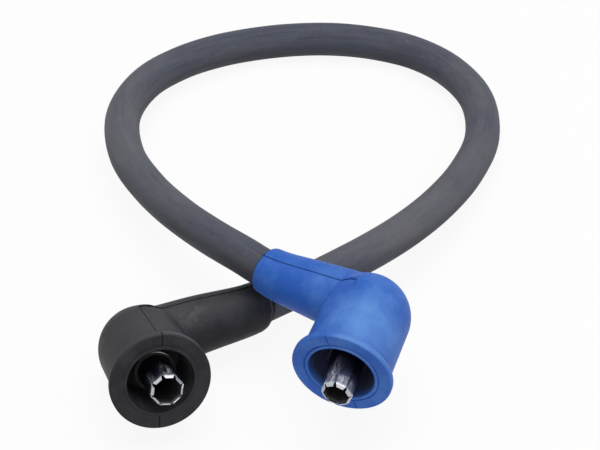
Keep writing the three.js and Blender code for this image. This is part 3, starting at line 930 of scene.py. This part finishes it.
def mouldedRubber(name, look, marks):
    material, tree, shader = newMaterial(name)
    place = addNode(tree, "ShaderNodeTexCoord").outputs["Object"]
    paintedLight, sheenSmear, line, shown, edgeLit, socket = carried(
        tree, "paintedLight", "sheenSmear", "partingLine", "seamShown", "edgeHighlight", "inSocket")
    cloud = addNode(tree, "ShaderNodeTexNoise", {
        "Vector": place, "Scale": perMetre(look["bloomSize"]), "Detail": 5.0, "Roughness": 0.6,
    }).outputs["Fac"]
    soft = addNode(tree, "ShaderNodeMapRange", {
        "Value": cloud, "From Min": 0.4, "From Max": 0.65, "To Min": -0.15, "To Max": 0.35,
    })
    # painted light from the mesh plus the real cloudy bloom; both take the bloom colour
    lightened = addNode(tree, "ShaderNodeMath", {0: paintedLight, 1: soft.outputs["Result"]},
                    operation="ADD", use_clamp=True)
    # faint lengthwise and crosswise handling marks
    paleMark = addNode(tree, "ShaderNodeTexNoise", {
        "Vector": place, "Scale": perMetre(marks["paleMark"]), "Detail": 3.0, "Distortion": 1.2,
    }).outputs["Fac"]
    paleMarks = addNode(tree, "ShaderNodeMapRange", {
        "Value": paleMark, "From Min": 0.55, "From Max": 0.8, "To Max": 0.16,
    })
    wiped = addNode(tree, "ShaderNodeMapRange", {"Value": paleMark, "From Min": 0.4, "From Max": 0.65})
    sheenSmeared = addNode(tree, "ShaderNodeMath", {0: sheenSmear, 1: wiped.outputs["Result"]}, operation="MULTIPLY")
    # a few specks of dust
    dust = addNode(tree, "ShaderNodeTexNoise", {
        "Vector": place, "Scale": perMetre(marks["speck"]), "Detail": 1.0,
    })
    speck = addNode(tree, "ShaderNodeMapRange", {
        "Value": dust.outputs["Fac"], "From Min": 0.76, "From Max": 0.82, "To Max": 0.35,
    })
    # the line where the mould halves meet, painted dark as the step's shade
    away = addNode(tree, "ShaderNodeMath", {0: line}, operation="ABSOLUTE")
    near = addNode(tree, "ShaderNodeMapRange", {
        "Value": away.outputs[0], "From Min": marks["lineFrom"] * mm, "From Max": marks["lineTo"] * mm,
        "To Min": 0.9, "To Max": 0.0,
    })
    seam = addNode(tree, "ShaderNodeMath", {0: near.outputs["Result"], 1: shown},
                   operation="MULTIPLY").outputs[0]
    # the socket's wall is painted its own tone for the shade inside the socket, darker than the blue rubber,
    # with pull marks along it
    own = addNode(tree, "ShaderNodeAttribute", attribute_name="ownPlace").outputs["Vector"]
    pulled = addNode(tree, "ShaderNodeMapping", {"Vector": own, "Scale": (1.0, 1.0, 0.08)})
    pull = addNode(tree, "ShaderNodeTexNoise", {
        "Vector": pulled.outputs[0], "Scale": perMetre(marks["pull"]), "Detail": 3.0,
    })
    pullSeen = addNode(tree, "ShaderNodeMapRange", {
        "Value": pull.outputs["Fac"], "From Min": 0.56, "From Max": 0.72,
    })
    socketShade = layColours(tree, colour(look["deep"]), [(pullSeen.outputs["Result"], colour(look["streak"]))])
    tone = layColours(tree, colour(look["base"]), [
        (lightened.outputs[0], colour(look["bloomAndLitTone"])),
        (paleMarks.outputs["Result"], colour(look["bloomAndLitTone"])),
        (sheenSmeared.outputs[0], colour(look["sheenSmear"])),
        (speck.outputs["Result"], colour(look["speck"])),
        (edgeLit, colour(look["edgeHighlight"])),
        (seam, colour(look["line"])),
        (socket, socketShade),
    ])
    tree.links.new(tone, shader.inputs["Base Color"])
    rough = addNode(tree, "ShaderNodeMapRange", {
        "Value": cloud, "From Min": 0.3, "From Max": 0.7,
        "To Min": look["roughness"][0], "To Max": look["roughness"][1],
    })
    tree.links.new(rough.outputs["Result"], shader.inputs["Roughness"])
    shader.inputs["IOR"].default_value = 1.5
    sheen = addNode(tree, "ShaderNodeMapRange", {"Value": seam, "To Min": look["specular"], "To Max": 0.02})
    tree.links.new(sheen.outputs["Result"], shader.inputs["Specular IOR Level"])
    grain = addNode(tree, "ShaderNodeTexNoise", {
        "Vector": place, "Scale": perMetre(marks["grain"]), "Detail": 2.0,
    })
    low = addNode(tree, "ShaderNodeTexNoise", {
        "Vector": place, "Scale": perMetre(marks["unevenness"]), "Detail": 2.0,
    })
    ground = addNode(tree, "ShaderNodeMath", {0: low.outputs["Fac"], 1: 1.6, 2: grain.outputs["Fac"]},
                     operation="MULTIPLY_ADD")
    height = addNode(tree, "ShaderNodeMath", {0: seam, 1: -1.2, 2: ground.outputs[0]},
                     operation="MULTIPLY_ADD")
    bump = addNode(tree, "ShaderNodeBump", {
        "Height": height.outputs[0], "Strength": 0.35, "Distance": 0.03 * mm,
    })
    tree.links.new(bump.outputs["Normal"], shader.inputs["Normal"])
    return material


# extruded rubber jacket: matt, slate grey, with drag lines along it, dusty patches that also carry painted
# light, and a painted shade on its underside
jacketLook = {
    "base": "454957",
    # the dust colour also paints light where the cable is lifted lighter
    "dust": "68686c",
    "streak": "343743",
    "dark": "2b2d36",
    "under": "2f3035",
    "speck": "8a8a90",
    "roughness": (0.6, 0.8),
    "specular": 0.35,
    "patchSize": 5.0,
    "streakWidth": 0.9,
    "pitSize": 0.4,
    "fleckSize": 0.8,
}


def extrudedJacket(name, look):
    material, tree, shader = newMaterial(name)
    laid = addNode(tree, "ShaderNodeAttribute", attribute_name="laidFlat").outputs["Vector"]
    dustAndLightLaid, under = carried(tree, "dustAndLightLaid", "underside")
    drawn = addNode(tree, "ShaderNodeMapping", {"Vector": laid, "Scale": (1.0, 1.0, 0.06)})
    streaks = addNode(tree, "ShaderNodeTexNoise", {
        "Vector": drawn.outputs[0], "Scale": perMetre(look["streakWidth"]), "Detail": 4.0, "Roughness": 0.65,
    }).outputs["Fac"]
    streaked = addNode(tree, "ShaderNodeMapRange", {"Value": streaks, "From Min": 0.42, "From Max": 0.72})
    wide = addNode(tree, "ShaderNodeMapping", {"Vector": laid, "Scale": (1.0, 1.0, 0.3)})
    patch = addNode(tree, "ShaderNodeTexNoise", {
        "Vector": wide.outputs[0], "Scale": perMetre(look["patchSize"]), "Detail": 6.0, "Roughness": 0.7,
    }).outputs["Fac"]
    patchy = addNode(tree, "ShaderNodeMapRange", {
        "Value": patch, "From Min": 0.35, "From Max": 0.65, "To Min": -0.3, "To Max": 0.3,
    })
    dustyAndLit = addNode(tree, "ShaderNodeMath", {0: dustAndLightLaid, 1: patchy.outputs["Result"]},
                    operation="ADD", use_clamp=True)
    # the downward-facing side is painted darker, in patches: painted shade
    underPatchy = addNode(tree, "ShaderNodeMapRange", {
        "Value": patch, "From Min": 0.35, "From Max": 0.6, "To Min": 0.25, "To Max": 0.85,
    })
    lower = addNode(tree, "ShaderNodeMath", {0: under, 1: underPatchy.outputs["Result"]},
                    operation="MULTIPLY")
    fleck = addNode(tree, "ShaderNodeTexNoise", {
        "Vector": laid, "Scale": perMetre(look["fleckSize"]), "Detail": 4.0, "Roughness": 0.75,
    }).outputs["Fac"]
    darkFleck = addNode(tree, "ShaderNodeMapRange", {
        "Value": fleck, "From Min": 0.4, "From Max": 0.3, "To Max": 0.5,
    })
    speck = addNode(tree, "ShaderNodeMapRange", {
        "Value": fleck, "From Min": 0.63, "From Max": 0.72, "To Max": 0.45,
    })
    tone = layColours(tree, colour(look["base"]), [
        (streaked.outputs["Result"], colour(look["streak"])),
        (dustyAndLit.outputs[0], colour(look["dust"])),
        (lower.outputs[0], colour(look["under"])),
        (darkFleck.outputs["Result"], colour(look["dark"])),
        (speck.outputs["Result"], colour(look["speck"])),
    ])
    tree.links.new(tone, shader.inputs["Base Color"])
    rough = addNode(tree, "ShaderNodeMapRange", {
        "Value": patch, "From Min": 0.3, "From Max": 0.7,
        "To Min": look["roughness"][0], "To Max": look["roughness"][1],
    })
    tree.links.new(rough.outputs["Result"], shader.inputs["Roughness"])
    shader.inputs["IOR"].default_value = 1.5
    shader.inputs["Specular IOR Level"].default_value = look["specular"]
    pits = addNode(tree, "ShaderNodeTexNoise", {
        "Vector": laid, "Scale": perMetre(look["pitSize"]), "Detail": 3.0,
    })
    height = addNode(tree, "ShaderNodeMath", {0: streaks, 1: 1.2, 2: pits.outputs["Fac"]},
                     operation="MULTIPLY_ADD")
    bump = addNode(tree, "ShaderNodeBump", {
        "Height": height.outputs[0], "Strength": 0.4, "Distance": 0.04 * mm,
    })
    tree.links.new(bump.outputs["Normal"], shader.inputs["Normal"])
    return material


# stamped stainless: satin flats, with painted highlights as pale streaks along the barrel, painted shade
# deeper in the socket, and the inside and collar painted dark as shade
steelLook = {
    "base": "c4c6ca",
    "stain": "a9adb3",
    # painted shade tones for the socket, the inside and the collar; a painted highlight colour for the pale
    # streaks
    "socketShadeTone": "34364a",
    "paleMark": "dcdae6",
    "inside": "201f20",
    "paintedShade": "0e0e10",
    "shine": "ffffff",
    "roughness": 0.36,
    "stainSize": 0.8,
    "glintStreakSize": 0.4,
    "grainSize": 0.5,
}
# tinned strand: even and slightly greyer than the terminals
strandLook = {
    "base": "a9abae",
    "stain": "a9adb3",
    "roughness": 0.4,
    "stainSize": 0.8,
    "grainSize": 0.5,
}


# cloudy satin metal: gives the tone and roughness, and puts the fine grain in the shader
def satinMetal(tree, shader, own, look):
    place = addNode(tree, "ShaderNodeMapping", {"Vector": own, "Scale": (1.0, 1.0, 0.15)}).outputs[0]
    stain = addNode(tree, "ShaderNodeTexNoise", {
        "Vector": place, "Scale": perMetre(look["stainSize"]), "Detail": 4.0, "Roughness": 0.65,
    }).outputs["Fac"]
    tone = layColours(tree, colour(look["base"]), [(stain, colour(look["stain"]))])
    rough = addNode(tree, "ShaderNodeMapRange", {
        "Value": stain, "From Min": 0.3, "From Max": 0.7,
        "To Min": look["roughness"] * 0.8, "To Max": look["roughness"] * 1.3,
    })
    grain = addNode(tree, "ShaderNodeTexNoise", {
        "Vector": place, "Scale": perMetre(look["grainSize"]), "Detail": 2.0,
    })
    bump = addNode(tree, "ShaderNodeBump", {
        "Height": grain.outputs["Fac"], "Strength": 0.15, "Distance": 0.02 * mm,
    })
    tree.links.new(bump.outputs["Normal"], shader.inputs["Normal"])
    return tone, rough.outputs["Result"]


def stampedSteel(name, look):
    material, tree, shader = newMaterial(name)
    own = addNode(tree, "ShaderNodeAttribute", attribute_name="ownPlace").outputs["Vector"]
    tone, rough = satinMetal(tree, shader, own, look)
    inside, paleMarks, barrelShade, paintedShade, shine = carried(
        tree, "inside", "paleMarks", "socketShade", "paintedShade", "edgeShine")
    drawn = addNode(tree, "ShaderNodeMapping", {"Vector": own, "Scale": (1.0, 1.0, 0.12)})
    streaks = addNode(tree, "ShaderNodeTexNoise", {
        "Vector": drawn.outputs[0], "Scale": perMetre(look["glintStreakSize"]), "Detail": 5.0, "Roughness": 0.8,
    })
    streaked = addNode(tree, "ShaderNodeMapRange", {
        "Value": streaks.outputs["Fac"], "From Min": 0.44, "From Max": 0.6,
    })
    glintFilm = addNode(tree, "ShaderNodeMath", {0: streaked.outputs["Result"], 1: paleMarks},
                   operation="MULTIPLY", use_clamp=True).outputs[0]
    tone = layColours(tree, tone, [
        (barrelShade, colour(look["socketShadeTone"])),
        (glintFilm, colour(look["paleMark"])),
        (inside, colour(look["inside"])),
        (paintedShade, colour(look["paintedShade"])),
        (shine, colour(look["shine"])),
    ])
    tree.links.new(tone, shader.inputs["Base Color"])
    # the painted highlight streaks and the inside painted dark as shade are not metallic, and rougher than
    # bare metal
    bright = addNode(tree, "ShaderNodeMath", {0: 1.0, 1: glintFilm}, operation="SUBTRACT")
    metal = addNode(tree, "ShaderNodeMath", {0: bright.outputs[0], 1: inside},
                    operation="SUBTRACT", use_clamp=True).outputs[0]
    tree.links.new(metal, shader.inputs["Metallic"])
    rougher = addNode(tree, "ShaderNodeMath", {0: metal, 1: -0.4, 2: 0.4}, operation="MULTIPLY_ADD")
    roughAll = addNode(tree, "ShaderNodeMath", {0: rough, 1: rougher.outputs[0]}, operation="ADD")
    tree.links.new(roughAll.outputs[0], shader.inputs["Roughness"])
    return material


def tinnedStrand(name, look):
    material, tree, shader = newMaterial(name)
    place = addNode(tree, "ShaderNodeTexCoord").outputs["Object"]
    tone, rough = satinMetal(tree, shader, place, look)
    tree.links.new(tone, shader.inputs["Base Color"])
    tree.links.new(rough, shader.inputs["Roughness"])
    shader.inputs["Metallic"].default_value = 1.0
    return material


def dress(piece, material):
    piece.data.materials.clear()
    piece.data.materials.append(material)


dress(bootPieces["black"], mouldedRubber("blackMouldedRubber", rubberLooks["blackRubber"], rubberMarks))
dress(bootPieces["blue"], mouldedRubber("blueSiliconeRubber", rubberLooks["blueRubber"], rubberMarks))
dress(cablePiece, extrudedJacket("extrudedRubberJacket", jacketLook))
terminalSteel = stampedSteel("stampedStainlessSteel", steelLook)
for piece in terminalPieces.values():
    dress(piece, terminalSteel)
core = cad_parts["conductor_core"]
coreSteel = tinnedStrand("tinnedConductor", strandLook)
if core.material_slots:
    for slot in core.material_slots:
        slot.material = coreSteel
else:
    core.data.materials.append(coreSteel)
print("materials made")

# floor and light
studio = {
    "floorSize": 6.0,
    "floor": "f4f4f4",
    "shadowShare": 0.09,       # how much of the floor's own shading the camera sees
    "paperGlow": 1.0,
    "worldStrength": 0.25,
    "aim": (0.0, 0.0, 0.01),
    "lamps": [
        # name, place (m), size (m), strength (W)
        ("overhead", (0.0, 0.1, 0.75), 0.7, 4.0),
        ("side", (0.6, 0.0, 0.4), 0.35, 0.8),
        ("front", (-0.25, -0.7, 0.4), 0.5, 0.9),
    ],
}


# 1 for the rays that reach the eye straight, mirrored or through glass
def seenShare(tree):
    path = addNode(tree, "ShaderNodeLightPath")
    seen = path.outputs["Is Camera Ray"]
    for kind in ("Is Glossy Ray", "Is Transmission Ray"):
        either = addNode(tree, "ShaderNodeMath", {0: seen, 1: path.outputs[kind]}, operation="MAXIMUM")
        seen = either.outputs[0]
    return seen


def makeFloor(values):
    bm = bmesh.new()
    bmesh.ops.create_grid(bm, x_segments=1, y_segments=1, size=values["floorSize"] / 2)
    mesh = bpy.data.meshes.new("floor")
    bm.to_mesh(mesh)
    bm.free()
    floor = linkMesh("floor", mesh)
    material = bpy.data.materials.new("palePaper")
    material.use_nodes = True
    tree = material.node_tree
    tree.nodes.clear()
    paper = addNode(tree, "ShaderNodeBsdfDiffuse", {"Color": colour(values["floor"])})
    white = addNode(tree, "ShaderNodeEmission", {"Color": (1, 1, 1, 1), "Strength": values["paperGlow"]})
    share = addNode(tree, "ShaderNodeMath", {
        0: seenShare(tree), 1: 1 - values["shadowShare"],
    }, operation="MULTIPLY")
    mixed = addNode(tree, "ShaderNodeMixShader", {
        0: share.outputs[0], 1: paper.outputs[0], 2: white.outputs[0],
    })
    addNode(tree, "ShaderNodeOutputMaterial", {"Surface": mixed.outputs[0]})
    mesh.materials.append(material)


def makeLight(values):
    for name, place, size, strength in values["lamps"]:
        data = bpy.data.lights.new(name, "AREA")
        data.shape = "DISK"
        data.size = size
        data.energy = strength
        lamp = bpy.data.objects.new(name, data)
        lamp.location = place
        towards = Vector(values["aim"]) - Vector(place)
        lamp.rotation_euler = towards.to_track_quat("-Z", "Y").to_euler()
        bpy.context.scene.collection.objects.link(lamp)
    world = bpy.data.worlds.new("studio")
    world.use_nodes = True
    tree = world.node_tree
    back = tree.nodes["Background"]
    back.inputs["Color"].default_value = (1, 1, 1, 1)
    strength = addNode(tree, "ShaderNodeMapRange", {
        "Value": seenShare(tree), "To Min": values["worldStrength"], "To Max": 1.0,
    })
    tree.links.new(strength.outputs["Result"], back.inputs["Strength"])
    bpy.context.scene.world = world


makeFloor(studio)
makeLight(studio)
bpy.context.scene.view_settings.view_transform = "Standard"
print("floor and light made")
